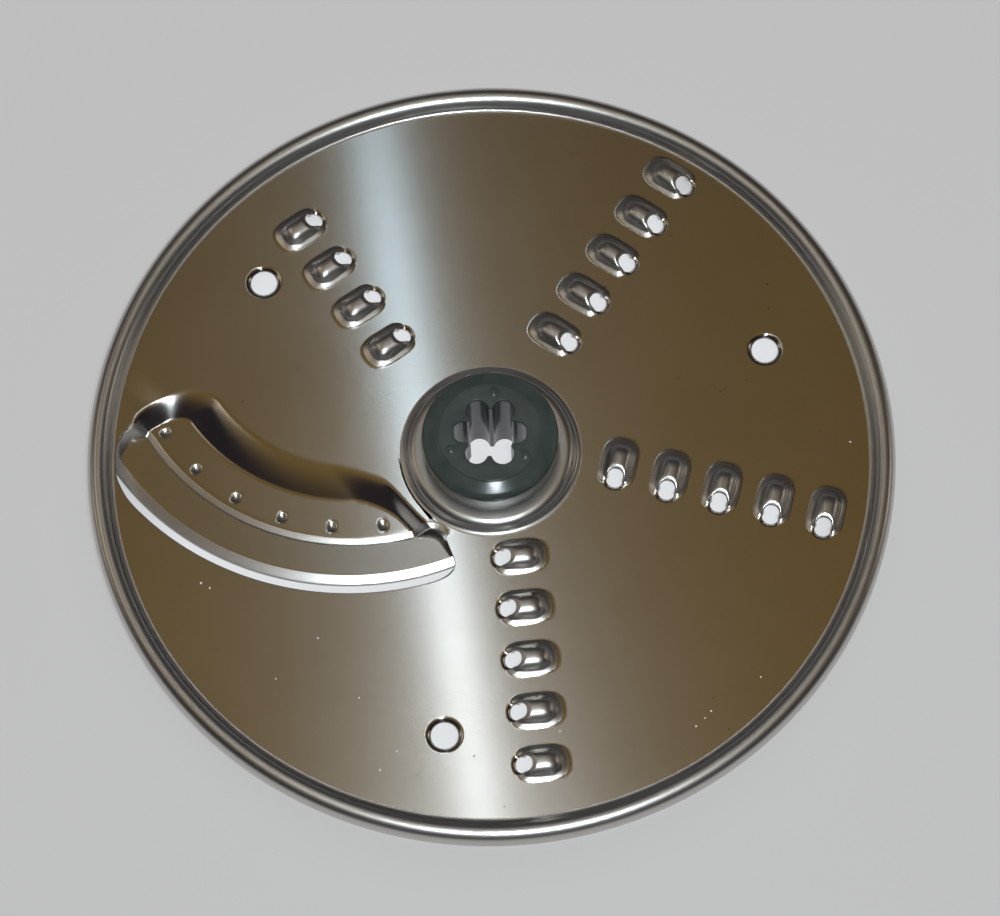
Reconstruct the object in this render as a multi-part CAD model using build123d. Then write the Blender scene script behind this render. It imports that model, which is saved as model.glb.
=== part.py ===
"""Reversible food processor disc: a pressed steel plate with shredding cups, a slicing blade and a drive hub.

Millimetres, +Z up. The origin is the centre of the hub's lower face, on the spin axis.
The shredding side is up: the cups stand proud of it, and the blade platform is pressed down.
"""
import os
from math import acos, atan2, ceil, cos, degrees, hypot, radians, sin, tan

from build123d import *

# Plate sheet and rim bead
disc_diameter = 178.0
sheet = 0.85
rim_bead_radius = 2.4
rim_root_radius = 1.2
rim_kick_angle = 85.0
rim_skirt = 1.35
bend_flat_angle = 44.0
small_round_sides = 16

# Collar drawn up round the hub
collar_shelf = 1.65
collar_rise = 2.2
collar_bend_radius = 1.9

# Hub
hub_height = 23.5
hub_diameter = 29.8
hub_face_diameter = 22.8
hub_shoulder_drop = 3.2
hub_shoulder_flats = 3
hub_grip = 1.3
moulding_gap = 0.03

# Drive socket
socket_core_diameter = 11.0
socket_lobe_diameter = 4.9
socket_lobe_circle = 11.3
socket_lobe_count = 6
socket_first_lobe_angle = -3.0

# Moulding pips on the hub's upper face
pip_count = 3
pip_circle = 18.7
pip_first_angle = 83.0
pip_diameter = 1.3
pip_rise = 0.35

# Shredding cups
cup_row_count = 4
cup_first_row_angle = -86.6
cup_row_angle = 70.0
cup_pitch = 11.67
cup_stagger = 2.9
cup_height = 2.4
cup_length = 8.2
cup_width = 7.2
cup_hole_width = 3.5
cup_hole_length = 3.6
cup_collar_gap = 1.6
cup_rim_gap = 1.5

# Plain holes
plain_hole_count = 3
plain_hole_inset = 17.84
plain_hole_diameter = 5.3
plain_hole_flare_diameter = 6.9
plain_hole_flare_depth = 0.45
plain_hole_first_angle = 19.2

# Blade platform, slot and blade: arcs about one sweep centre
sweep_centre_x = -29.3
sweep_centre_y = 34.5
platform_depth = 3.0
platform_back_run = 7.2
platform_start_run = 4.0
platform_end_run = 4.2
platform_front_run = 3.3
platform_width = 10.2
platform_overrun = 2.3
platform_rim_gap = 3.5
platform_back_collar_gap = 2.2
platform_front_collar_gap = 0.9
platform_corner_radius = 2.6
slot_back_radius = 54.2
slot_width = 12.0
slot_rim_gap = 0.6
slot_rim_inset = 4.5
slot_hub_gap = 4.7
slot_corner_radius = 3.0
blade_thickness = 1.0
blade_seat = 7.6
blade_reach = 8.9
blade_end_overlap = 1.6
blade_hub_gap = 3.2
blade_corner_radius = 1.9
blade_bevel_width = 2.3
blade_edge_land = 0.08
weld_count = 6
weld_inset = 4.1
weld_end_margin = 2.4
weld_diameter = 2.2
weld_dent = 0.35

# Worked out from the sizes above
rim_radius = disc_diameter / 2
hub_radius = hub_diameter / 2
plate_mid = hub_height / 2
plate_top = plate_mid + sheet / 2
platform_top = plate_top - platform_depth
blade_top = platform_top - sheet
rim_bead_mid = rim_bead_radius - sheet / 2
rim_root_start = rim_radius - rim_bead_radius - (rim_root_radius + rim_bead_mid) * sin(radians(rim_kick_angle))
collar_bend_angle = degrees(acos(1 - collar_rise / (2 * collar_bend_radius)))
collar_crown_radius = hub_radius + collar_shelf
collar_root_radius = collar_crown_radius + 2 * collar_bend_radius * sin(radians(collar_bend_angle))
cup_first_radius = collar_root_radius + cup_collar_gap + cup_width / 2
plain_hole_circle_radius = rim_root_start - plain_hole_inset
platform_back_radius = slot_back_radius - platform_width
platform_front_radius = slot_back_radius + platform_overrun
slot_front_radius = slot_back_radius + slot_width
blade_back_radius = slot_back_radius - blade_seat
blade_edge_radius = slot_back_radius + blade_reach
weld_circle_radius = slot_back_radius - weld_inset
slot_limit_radius = rim_root_start - slot_rim_gap


def sweep_point(radius, angle):
    """Point at a radius and angle about the centre of the blade's sweep."""
    return Vector(
        sweep_centre_x + radius * cos(radians(angle)),
        sweep_centre_y + radius * sin(radians(angle)),
    )


def sweep_arc(radius, start_angle, end_angle):
    """Arc about the centre of the blade's sweep."""
    angles = (start_angle, (start_angle + end_angle) / 2, end_angle)
    return ThreePointArc(*[sweep_point(radius, angle) for angle in angles])


def sweep_angle(radius, axis_distance):
    """Angle at which an arc of the sweep comes to a distance from the spin axis."""
    offset_length = hypot(sweep_centre_x, sweep_centre_y)
    offset_angle = degrees(atan2(sweep_centre_y, sweep_centre_x))
    cosine = (axis_distance**2 - offset_length**2 - radius**2) / (2 * offset_length * radius)
    return offset_angle + degrees(acos(cosine))


slot_start_angle = sweep_angle(slot_back_radius, slot_limit_radius - slot_rim_inset)
slot_end_angle = sweep_angle(slot_back_radius, hub_radius + slot_hub_gap)
platform_start_angle = sweep_angle(platform_front_radius, slot_limit_radius - platform_rim_gap)
platform_end_distance = collar_root_radius + platform_end_run
platform_back_end_angle = sweep_angle(platform_back_radius, platform_end_distance + platform_back_collar_gap)
platform_front_end_angle = sweep_angle(platform_front_radius, platform_end_distance + platform_front_collar_gap)


def sweep_sector(inner_radius, outer_radius, start_angle, end_angle):
    """Face between two sweep arcs and two sweep angles."""
    outer = sweep_arc(outer_radius, start_angle, end_angle)
    inner = sweep_arc(inner_radius, end_angle, start_angle)
    return make_face(Wire([outer, Line(outer @ 1, inner @ 0), inner, Line(inner @ 1, outer @ 0)]))


def sheet_side(side):
    """Points along one side of the sheet's section, from the hub's grip to the rim's free edge.

    Each step is a straight run, then a bend of a radius at mid-sheet through an angle, drawn as short flats.
    """
    steps = (
        (hub_grip + collar_shelf, collar_bend_radius, -collar_bend_angle),
        (0, collar_bend_radius, collar_bend_angle),
        (rim_root_start - collar_root_radius, rim_root_radius, rim_kick_angle),
        (0, rim_bead_mid, -rim_kick_angle - 90),
        (rim_skirt, 0, 0),
    )
    place = Vector(hub_radius - hub_grip, collar_rise)
    heading = 0
    points = [place + Vector(0, side)]
    for run, radius, turn in steps:
        forward = Vector(1, 0).rotate(Axis.Z, heading)
        place += forward * run
        towards_centre = forward.rotate(Axis.Z, 90 if turn > 0 else -90)
        centre = place + towards_centre * radius
        flats = ceil(abs(turn) / bend_flat_angle)
        if run:
            points.append(place + forward.rotate(Axis.Z, 90) * side)
        for flat in range(flats):
            part_turn = turn * (flat + 1) / flats
            across = forward.rotate(Axis.Z, 90 + part_turn)
            place = centre - towards_centre.rotate(Axis.Z, part_turn) * radius
            points.append(place + across * side)
        heading += turn
    return points


def pressed_blank():
    """Sheet turned about the axis: hub grip, collar, flat and rim bead."""
    outline = sheet_side(sheet / 2) + sheet_side(-sheet / 2)[::-1]
    section = make_face(Polyline(*outline, close=True))
    return Pos(0, 0, plate_mid) * revolve(Plane.XZ * section, Axis.Z)


def cup_places():
    """Frame of each cup: X out of its mouth, Y outwards from the axis, origin in the mouth on the plate."""
    places = []
    for row in range(cup_row_count):
        row_turn = Rot(0, 0, cup_first_row_angle + row * cup_row_angle - 90)
        radius = cup_first_radius + row * cup_stagger
        while radius + cup_width / 2 + cup_rim_gap < rim_root_start:
            places.append(Pos(0, 0, plate_top) * row_turn * Pos(-cup_hole_length / 2, radius))
            radius += cup_pitch
    return places


def small_round(diameter):
    """Outline of a small round feature, as flats about its circle, one of them on top."""
    return RegularPolygon(diameter / 2, small_round_sides, major_radius=False, rotation=180 / small_round_sides)


def cup_scoop(wall, low):
    """Scoop behind a cup's mouth, drawn in by a wall and cut off at a level: a cone lying along the plate."""
    arch_radius = ((cup_width / 2) ** 2 + cup_height**2) / (2 * cup_height)
    mouth_radius = arch_radius - wall * hypot(cup_height, cup_length) / cup_length
    axis_level = cup_height - arch_radius
    length = (mouth_radius + axis_level - low / 2) * cup_length / cup_height
    taper = degrees(atan2(cup_height, cup_length))
    upright = extrude(small_round(2 * mouth_radius), length, taper=taper)
    above = Box(4 * length, 4 * length, 2 * cup_height, align=(Align.CENTER, Align.CENTER, Align.MIN))
    return Pos(0, 0, axis_level) * Rot(0, -90, 0) * upright & Pos(0, 0, low) * above


def cup_hole():
    """Rounded hole in front of a cup's mouth."""
    end_radius = cup_hole_width / 2
    straight = cup_hole_length - end_radius
    outline = Pos(straight / 2, 0) * Rectangle(straight, cup_hole_width) + Pos(straight, 0) * Circle(end_radius)
    return extrude(outline, 2 * sheet, both=True)


def plain_hole():
    """Punched hole with its edge rolled in from above."""
    bore = Cylinder(plain_hole_diameter / 2, 4 * sheet)
    flare = Cone(
        plain_hole_diameter / 2,
        plain_hole_flare_diameter / 2,
        plain_hole_flare_depth,
        align=(Align.CENTER, Align.CENTER, Align.MAX),
    )
    return bore + flare


def platform_outline(back_spread, start_spread, end_spread, front_spread):
    """Outline of the platform's level part, spread by a distance on each side."""
    back_end = sweep_point(platform_back_radius, platform_back_end_angle)
    front_end = sweep_point(platform_front_radius, platform_front_end_angle)
    along_end = (front_end - back_end).normalized()
    past_end = along_end.rotate(Axis.Z, 90)
    along_start = sweep_point(1, platform_start_angle) - sweep_point(0, 0)
    past_start = along_start.rotate(Axis.Z, -90)
    start_shift = past_start * start_spread
    back_start = sweep_point(platform_back_radius - back_spread, platform_start_angle) + start_shift
    front_start = sweep_point(platform_front_radius + front_spread, platform_start_angle) + start_shift
    back_end += past_end * end_spread - along_end * back_spread
    front_end += past_end * end_spread + along_end * front_spread
    back_middle_angle = (platform_start_angle + platform_back_end_angle) / 2
    back_middle = sweep_point(platform_back_radius - back_spread, back_middle_angle)
    front_middle_angle = (platform_start_angle + platform_front_end_angle) / 2
    front_middle = sweep_point(platform_front_radius + front_spread, front_middle_angle)
    edges = [
        ThreePointArc(front_start, front_middle, front_end),
        Line(front_end, back_end),
        ThreePointArc(back_end, back_middle, back_start),
        Line(back_start, front_start),
    ]
    outline = make_face(Wire(edges))
    least_spread = min(back_spread, start_spread, end_spread, front_spread)
    return fillet(outline.vertices(), platform_corner_radius + least_spread)


def platform_pan(wall, rise):
    """Space pressed down for the platform up to a rise over the plate, or with a wall its pan's outside."""
    runs = (platform_back_run, platform_start_run, platform_end_run, platform_front_run)
    slopes = [atan2(platform_depth, run) for run in runs]
    stretch = 1 + rise / platform_depth
    mouth = platform_outline(*[run * stretch + wall / sin(slope) for run, slope in zip(runs, slopes)])
    level = platform_outline(*[wall * tan(slope / 2) for slope in slopes])
    return loft([Pos(0, 0, platform_top - wall) * level, Pos(0, 0, plate_top + rise) * mouth], ruled=True)


def slot_opening():
    """Slot through the plate in front of the platform."""
    outline = sweep_sector(slot_back_radius, slot_front_radius, slot_start_angle, slot_end_angle)
    outline &= Circle(slot_limit_radius)
    return extrude(fillet(outline.vertices(), slot_corner_radius), hub_height)


def weld_places():
    """Centre of each weld's dent on the platform."""
    first_angle = platform_start_angle + weld_end_margin
    step = (platform_back_end_angle - first_angle) / (weld_count - 1)
    spots = [sweep_point(weld_circle_radius, first_angle + index * step) for index in range(weld_count)]
    return [Pos(spot.X, spot.Y, platform_top) for spot in spots]


def make_disc_plate():
    """Pressed plate with rim, collar, cups, holes, platform and slot."""
    plate = pressed_blank()
    plate += platform_pan(sheet, -sheet / 2)
    plate -= platform_pan(0, sheet)
    plate -= slot_opening()
    places = cup_places()
    plate += [place * cup_scoop(0, -sheet) for place in places]
    plate -= [place * cup_scoop(sheet, -2 * sheet) for place in places]
    plate -= [place * cup_hole() for place in places]
    for index in range(plain_hole_count):
        turn = Rot(0, 0, plain_hole_first_angle + index * 360 / plain_hole_count)
        plate -= Pos(0, 0, plate_top) * turn * Pos(plain_hole_circle_radius, 0) * plain_hole()
    plate -= [place * extrude(small_round(weld_diameter), weld_dent, both=True) for place in weld_places()]
    return plate


def make_slicing_blade():
    """Curved strip under the platform and past the slot's ends, with a bevel ground on its upper side."""
    overlap_angle = degrees(blade_end_overlap / slot_back_radius)
    outline = sweep_sector(
        blade_back_radius,
        blade_edge_radius,
        slot_start_angle - overlap_angle,
        slot_end_angle + overlap_angle,
    )
    outline &= Circle(slot_limit_radius + blade_end_overlap)
    outline -= Circle(hub_radius + blade_hub_gap)
    outline = fillet(outline.vertices(), blade_corner_radius)
    strip = Pos(0, 0, blade_top - blade_thickness) * extrude(outline, blade_thickness)
    bevel = make_face(
        Polyline(
            (blade_edge_radius - blade_bevel_width, 0),
            (blade_edge_radius, blade_edge_land - blade_thickness),
            (blade_edge_radius, 0),
            close=True,
        )
    )
    ring = revolve(Plane.XZ * bevel, Axis.Z)
    return strip - Pos(sweep_centre_x, sweep_centre_y, blade_top) * ring


def socket_outline():
    """Six-lobed drive socket."""
    outline = Circle(socket_core_diameter / 2)
    for index in range(socket_lobe_count):
        turn = Rot(0, 0, socket_first_lobe_angle + index * 360 / socket_lobe_count)
        outline += turn * Pos(socket_lobe_circle / 2, 0) * Circle(socket_lobe_diameter / 2)
    return outline


def hub_body():
    """Hub turned about the axis, alike above and below: face, rounded shoulder and straight wall."""
    half = hub_height / 2
    face_radius = hub_face_diameter / 2
    shoulder_width = hub_radius - face_radius
    turns = [radians(90 * flat / hub_shoulder_flats) for flat in range(hub_shoulder_flats + 1)]
    upper = [
        (face_radius + shoulder_width * sin(turn), half - hub_shoulder_drop * (1 - cos(turn))) for turn in turns
    ]
    lower = [(radius, -level) for radius, level in reversed(upper)]
    return revolve(Plane.XZ * make_face(Polyline((0, half), *upper, *lower, (0, -half), close=True)), Axis.Z)


def make_hub():
    """Moulded hub that grips the plate's inner lip, with the socket right through."""
    half = hub_height / 2
    hub = hub_body()
    groove_height = sheet + 2 * moulding_gap
    groove_radius = hub_radius - hub_grip - moulding_gap
    groove = Cylinder(2 * hub_radius, groove_height) - Cylinder(groove_radius, groove_height)
    hub -= Pos(0, 0, collar_rise) * groove
    hub -= extrude(socket_outline(), hub_height, both=True)
    for index in range(pip_count):
        turn = Rot(0, 0, pip_first_angle + index * 360 / pip_count)
        hub += turn * Pos(pip_circle / 2, 0, half) * extrude(small_round(pip_diameter), pip_rise, both=True)
    return Pos(0, 0, half) * hub


os.makedirs("parts", exist_ok=True)
export_step(make_disc_plate(), "parts/disc_plate.step")
export_step(make_slicing_blade(), "parts/slicing_blade.step")
export_step(make_hub(), "parts/hub.step")
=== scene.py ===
"""Dressed food processor disc: pressed steel plate, slicing blade and drive hub, in a plain pale studio.

Sizes in the classes are millimetres and become metres when a mesh is made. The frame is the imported
model's: Z is the spin axis, the origin is the middle of the hub's lower face, and the plate lies level.
"""
import logging
import math
from dataclasses import dataclass
from enum import Enum
from typing import Callable

import bmesh
import bpy
import numpy as np
from mathutils import Matrix, Vector
from mathutils.geometry import delaunay_2d_cdt

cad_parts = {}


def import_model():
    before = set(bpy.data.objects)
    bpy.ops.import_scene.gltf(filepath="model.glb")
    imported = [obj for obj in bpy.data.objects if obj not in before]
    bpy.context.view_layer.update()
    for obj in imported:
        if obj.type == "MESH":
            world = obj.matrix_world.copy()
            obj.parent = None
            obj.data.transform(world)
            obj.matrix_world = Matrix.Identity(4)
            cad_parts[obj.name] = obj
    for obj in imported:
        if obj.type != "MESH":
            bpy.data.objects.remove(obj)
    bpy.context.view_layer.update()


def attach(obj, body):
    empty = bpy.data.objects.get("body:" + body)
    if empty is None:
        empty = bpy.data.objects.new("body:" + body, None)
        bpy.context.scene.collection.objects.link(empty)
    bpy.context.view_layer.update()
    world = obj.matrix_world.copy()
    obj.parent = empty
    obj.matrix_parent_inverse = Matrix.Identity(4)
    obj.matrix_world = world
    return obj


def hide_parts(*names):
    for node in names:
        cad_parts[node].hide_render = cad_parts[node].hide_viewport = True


LOG = logging.getLogger("disc")
MILLIMETRE = 0.001
UV_WIDTH = 200.0
EDGE_TURN = np.linspace(0.0, math.pi, 8)[1:-1]
Array = np.ndarray
HeightField = Callable[[Array, Array], Array]
Colour = tuple[float, float, float]
Place = tuple[float, float, float]
Bend = tuple[float, float, float, int]

# Pale nicks in the plate: x, y and radius of each, in millimetres.
NICKS = (
    (-64.1, -28.1, 0.32), (-62.2, -29.3, 0.28), (-38.9, -41.7, 0.25), (-30.3, -55.5, 0.25),
    (-26.2, -71.6, 0.3), (-22.5, -67.6, 0.22), (-48.1, -50.5, 0.22), (41.4, -64.8, 0.25),
    (43.4, -63.1, 0.22), (44.8, -61.6, 0.28), (55.9, -54.5, 0.24), (79.2, -1.4, 0.26), (12.4, -64.7, 0.24),
)


class Burnish(Enum):
    """Whether pressing and use have polished the brushing off a part of the steel."""

    BRUSHED = 0.0
    POLISHED = 1.0


def smooth_step(low: float, high: float, values: Array) -> Array:
    """Gives 3t^2 - 2t^3, where t is how far each value has come from low to high."""
    t = np.clip((values - low) / (high - low), 0.0, 1.0)
    return t * t * (3.0 - 2.0 * t)


def ring_points(centre: tuple[float, float], radius: Array | float, degrees: Array) -> Array:
    """Gives points on circles about a centre, as rows of x and y."""
    turn = np.radians(degrees)
    return np.stack([centre[0] + radius * np.cos(turn), centre[1] + radius * np.sin(turn)], axis=-1)


def soften_loop(loop: Array, reach: int) -> Array:
    """Rounds a closed outline's corners: each point becomes the mean of those within reach on either side."""
    neighbours = (np.arange(len(loop))[:, None] + np.arange(-reach, reach + 1)) % len(loop)
    return loop[neighbours].mean(axis=1)


def even_loop(loop: Array, count: int) -> Array:
    """Spreads points evenly along a closed outline.

    Args:
        loop: Points of the outline, one row each.
        count: How many points are wanted.

    Returns:
        Points at equal distances along the outline.
    """
    closed = np.concatenate([loop, loop[:1]])
    along = np.concatenate([[0.0], np.cumsum(np.linalg.norm(np.diff(closed, axis=0), axis=1))])
    wanted = np.linspace(0.0, along[-1], count, endpoint=False)
    return np.stack([np.interp(wanted, along, closed[:, axis]) for axis in range(loop.shape[1])], axis=-1)


def inside_loop(points: Array, loop: Array) -> Array:
    """Tells which points lie inside an outline, by counting the edges that a level ray crosses.

    Args:
        points: Rows of x and y.
        loop: Outline, rows of x and y.

    Returns:
        True for each point inside.
    """
    ahead = np.roll(loop, -1, axis=0)
    x, y = points[:, :1], points[:, 1:]
    spans = (loop[:, 1] > y) != (ahead[:, 1] > y)
    rise = np.where(ahead[:, 1] == loop[:, 1], 1.0, ahead[:, 1] - loop[:, 1])
    crossing = loop[:, 0] + (y - loop[:, 1]) * (ahead[:, 0] - loop[:, 0]) / rise
    return (spans & (x < crossing)).sum(axis=1) % 2 == 1


class SurfaceMesh:
    """Points and faces of one piece, gathered from grids, with the faces that are polished."""

    def __init__(self, name: str) -> None:
        """Starts an empty piece with a name."""
        self.name = name
        self.points: list[Array] = []
        self.faces: list[list[int]] = []
        self.polished: list[int] = []
        self.count = 0

    def grid(
        self, points: Array, burnish: Array | float, close_v: bool = False, close_u: bool = True
    ) -> Array:
        """Adds a grid of four-sided faces.

        Args:
            points: Places on the surface, indexed u, v and axis.
            burnish: Polish of each point, or one for all.
            close_v: Whether the last column joins the first.
            close_u: Whether the last row joins the first.

        Returns:
            Number of each point in the mesh, indexed u and v.
        """
        rows, columns = points.shape[:2]
        ids = np.arange(rows * columns).reshape(rows, columns) + self.count
        self.count += rows * columns
        self.points.append(points.reshape(-1, 3))
        corners = np.stack(
            [ids, np.roll(ids, -1, 0), np.roll(np.roll(ids, -1, 0), -1, 1), np.roll(ids, -1, 1)], axis=-1
        )
        burnished = np.broadcast_to(burnish, (rows, columns)).reshape(-1)
        polish = burnished[corners - ids[0, 0]].mean(axis=-1) > 0.5
        columns_kept = columns if close_v else columns - 1
        rows_kept = rows if close_u else rows - 1
        self.faces.extend(corners[:rows_kept, :columns_kept].reshape(-1, 4).tolist())
        self.polished.extend(polish[:rows_kept, :columns_kept].astype(int).reshape(-1).tolist())
        return ids

    def zip_loops(self, first: Array, second: Array) -> None:
        """Joins two open rows of points with four-sided faces."""
        self.faces.extend(np.stack([first[:-1], first[1:], second[1:], second[:-1]], axis=-1).tolist())
        self.polished.extend([0] * (len(first) - 1))

    def fill_flat(self, outer: Array, holes: list[Array]) -> None:
        """Fills the level area between outlines with a constrained Delaunay triangulation.

        Args:
            outer: Point numbers of the outer outline.
            holes: Point numbers of each outline that stays open.
        """
        loops = [outer, *holes]
        ids = np.concatenate(loops)
        plan = np.concatenate(self.points)[ids, :2]
        starts = np.cumsum([0] + [len(loop) for loop in loops])
        edges = [
            (int(start + step), int(start + (step + 1) % len(loop)))
            for start, loop in zip(starts, loops)
            for step in range(len(loop))
        ]
        found = delaunay_2d_cdt([Vector(point) for point in plan], edges, [], 1, 1e-6)
        triangles = np.array(found[2])
        original = np.array([sources[0] for sources in found[3]])
        triangles = original[triangles]
        middles = plan[triangles].mean(axis=1)
        keep = np.ones(len(triangles), dtype=bool)
        for start, loop in zip(starts[1:], holes):
            keep &= ~inside_loop(middles, plan[start:start + len(loop)])
        self.faces.extend(ids[triangles[keep]].tolist())
        self.polished.extend([0] * int(keep.sum()))

    def make(self, spread: float) -> bpy.types.Object:
        """Makes the object, smooth-shaded, with its faces outwards and a UV map that follows the brushing.

        A polished face takes the second material, and any other face the first.

        Args:
            spread: Heading in degrees, across the brushing, along which the map's U runs.

        Returns:
            The new object, linked to the scene.
        """
        mesh = bpy.data.meshes.new(self.name)
        mesh.from_pydata((np.concatenate(self.points) * MILLIMETRE).tolist(), [], self.faces)
        shell = bmesh.new()
        shell.from_mesh(mesh)
        bmesh.ops.recalc_face_normals(shell, faces=shell.faces)
        shell.to_mesh(mesh)
        shell.free()
        mesh.polygons.foreach_set("use_smooth", np.ones(len(mesh.polygons), dtype=bool))
        corners = np.empty(len(mesh.loops), dtype=np.int32)
        mesh.loops.foreach_get("vertex_index", corners)
        mesh.polygons.foreach_set("material_index", np.array(self.polished, dtype=np.int32))
        plan = np.concatenate(self.points)[corners, :2]
        across = np.array([math.cos(math.radians(spread)), math.sin(math.radians(spread))])
        along = np.array([across[1], -across[0]])
        brushed = np.stack([plan @ across, plan @ along], axis=-1) / UV_WIDTH + 0.5
        mesh.uv_layers.new(name="brushing").data.foreach_set("uv", brushed.astype(np.float32).reshape(-1))
        mesh.update()
        return link(self.name, mesh)


def link(name: str, data: bpy.types.ID) -> bpy.types.Object:
    """Adds an object that shows some data to the scene."""
    piece = bpy.data.objects.new(name, data)
    bpy.context.scene.collection.objects.link(piece)
    return piece


def sheet_patch(plan: Array, height: HeightField, top: float, sheet: float, rest: float, thin: int) -> Array:
    """Lays a plan grid on the sheet round one hole.

    The upper side is the height over each plan point, the under side lies one sheet below it along the
    surface normal but no lower than what it rests on, and half an oval joins them round the cut edge.

    Args:
        plan: Plan points, indexed round the hole, from the flat to the hole, and axis.
        height: Rise over the flat at x and y.
        top: Level of the flat's upper side.
        sheet: Thickness of the sheet.
        rest: Lowest level of the under side.
        thin: Every how many rows the under side uses.

    Returns:
        Surface points, indexed round the hole, over and under the sheet, and axis.
    """
    x, y = plan[..., 0], plan[..., 1]
    step = 0.02
    slope_x = (height(x + step, y) - height(x - step, y)) / (2 * step)
    slope_y = (height(x, y + step) - height(x, y - step)) / (2 * step)
    normal = np.stack([-slope_x, -slope_y, np.ones_like(x)], axis=-1)
    normal /= np.linalg.norm(normal, axis=-1, keepdims=True)
    over = np.stack([x, y, top + height(x, y)], axis=-1)
    under = over - sheet * normal
    under[..., 2] = np.maximum(under[..., 2], rest)
    under[:, 0] = over[:, 0] - np.array([0.0, 0.0, sheet])
    inward = plan[:, -1] - plan[:, -2]
    rise = slope_x[:, -1] * inward[:, 0] + slope_y[:, -1] * inward[:, 1]
    tangent = np.concatenate([inward, rise[:, None]], axis=1)
    tangent /= np.linalg.norm(tangent, axis=1, keepdims=True)
    turn = EDGE_TURN[:, None]
    middle, half = (over[:, -1] + under[:, -1]) / 2, (over[:, -1] - under[:, -1]) / 2
    lip = np.cos(turn) * half[:, None] + np.sin(turn) * sheet / 2 * tangent[:, None]
    edge = middle[:, None] + lip
    below = np.append(np.arange(plan.shape[1] - 1, 0, -thin), 0)
    return np.concatenate([over, edge, under[:, below]], axis=1)


def bent_path(start: tuple[float, float], steps: list[Bend]) -> tuple[Array, Array]:
    """Walks a section of straight runs and bends.

    Args:
        start: Radius and level where the walk starts, heading outwards.
        steps: Run, bend radius, bend angle in degrees (up is positive) and points in the bend, for each step.

    Returns:
        Points of the walk, and the unit normal to the left of each.
    """
    places = [np.array([start])]
    headings = [np.zeros(1)]
    for run, radius, turn, count in steps:
        heading = headings[-1][-1]
        forward = np.array([math.cos(heading), math.sin(heading)])
        corner = places[-1][-1] + run * forward
        if run:
            places.append(corner[None])
            headings.append(np.array([heading]))
        if count:
            side = math.copysign(1.0, turn)
            turned = heading + np.radians(turn) * np.arange(1, count + 1) / count
            left = np.stack([-np.sin(turned), np.cos(turned)], axis=-1)
            centre = corner + side * radius * np.array([-forward[1], forward[0]])
            places.append(centre - side * radius * left)
            headings.append(turned)
    heading = np.concatenate(headings)
    return np.concatenate(places), np.stack([-np.sin(heading), np.cos(heading)], axis=-1)


def wrap_section(path: Array, left: Array, half: float, thin: int) -> Array:
    """Gives a sheet's section: along one side of a path, round its end and back along the other side.

    Args:
        path: Middle of the sheet, as rows of radius and level.
        left: Unit normal of each point.
        half: Half of the sheet's thickness.
        thin: Every how many points the way back uses.

    Returns:
        Section points, as rows of radius and level.
    """
    forward = np.array([left[-1, 1], -left[-1, 0]])
    turn = EDGE_TURN[:, None]
    end = path[-1] + half * (np.cos(turn) * left[-1] + np.sin(turn) * forward)
    back = np.append(np.arange(len(path) - 1, 0, -thin), 0)
    return np.concatenate([path + half * left, end, (path - half * left)[back]])


def turn_section(section: Array, count: int) -> Array:
    """Carries a section of radius and level once round the Z axis.

    Args:
        section: Rows of radius and level.
        count: Steps round the axis.

    Returns:
        Surface points, indexed round the axis, along the section, and axis.
    """
    round_axis = np.linspace(0.0, 2 * math.pi, count, endpoint=False)[:, None]
    radius, level = section[:, 0], np.broadcast_to(section[:, 1], (count, len(section)))
    return np.stack([radius * np.cos(round_axis), radius * np.sin(round_axis), level], axis=-1)


@dataclass(frozen=True)
class Sweep:
    """Circle family that the platform, slot and blade follow: arcs about one centre."""

    x: float = -29.3
    y: float = 34.5

    @property
    def centre(self) -> tuple[float, float]:
        """Gives the centre of the arcs."""
        return self.x, self.y

    def angle_at(self, radius: Array | float, axis_distance: float) -> Array:
        """Gives the angle, in degrees, at which an arc comes to a distance from the spin axis."""
        offset = math.hypot(self.x, self.y)
        cosine = (axis_distance**2 - offset**2 - np.square(radius)) / (2 * offset * np.asarray(radius))
        return math.degrees(math.atan2(self.y, self.x)) + np.degrees(np.arccos(np.clip(cosine, -1.0, 1.0)))

    def polar(self, x: Array, y: Array) -> tuple[Array, Array]:
        """Gives the radius and the angle in degrees, from 0 to 360, about the centre."""
        return np.hypot(x - self.x, y - self.y), np.degrees(np.arctan2(y - self.y, x - self.x)) % 360.0


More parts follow.
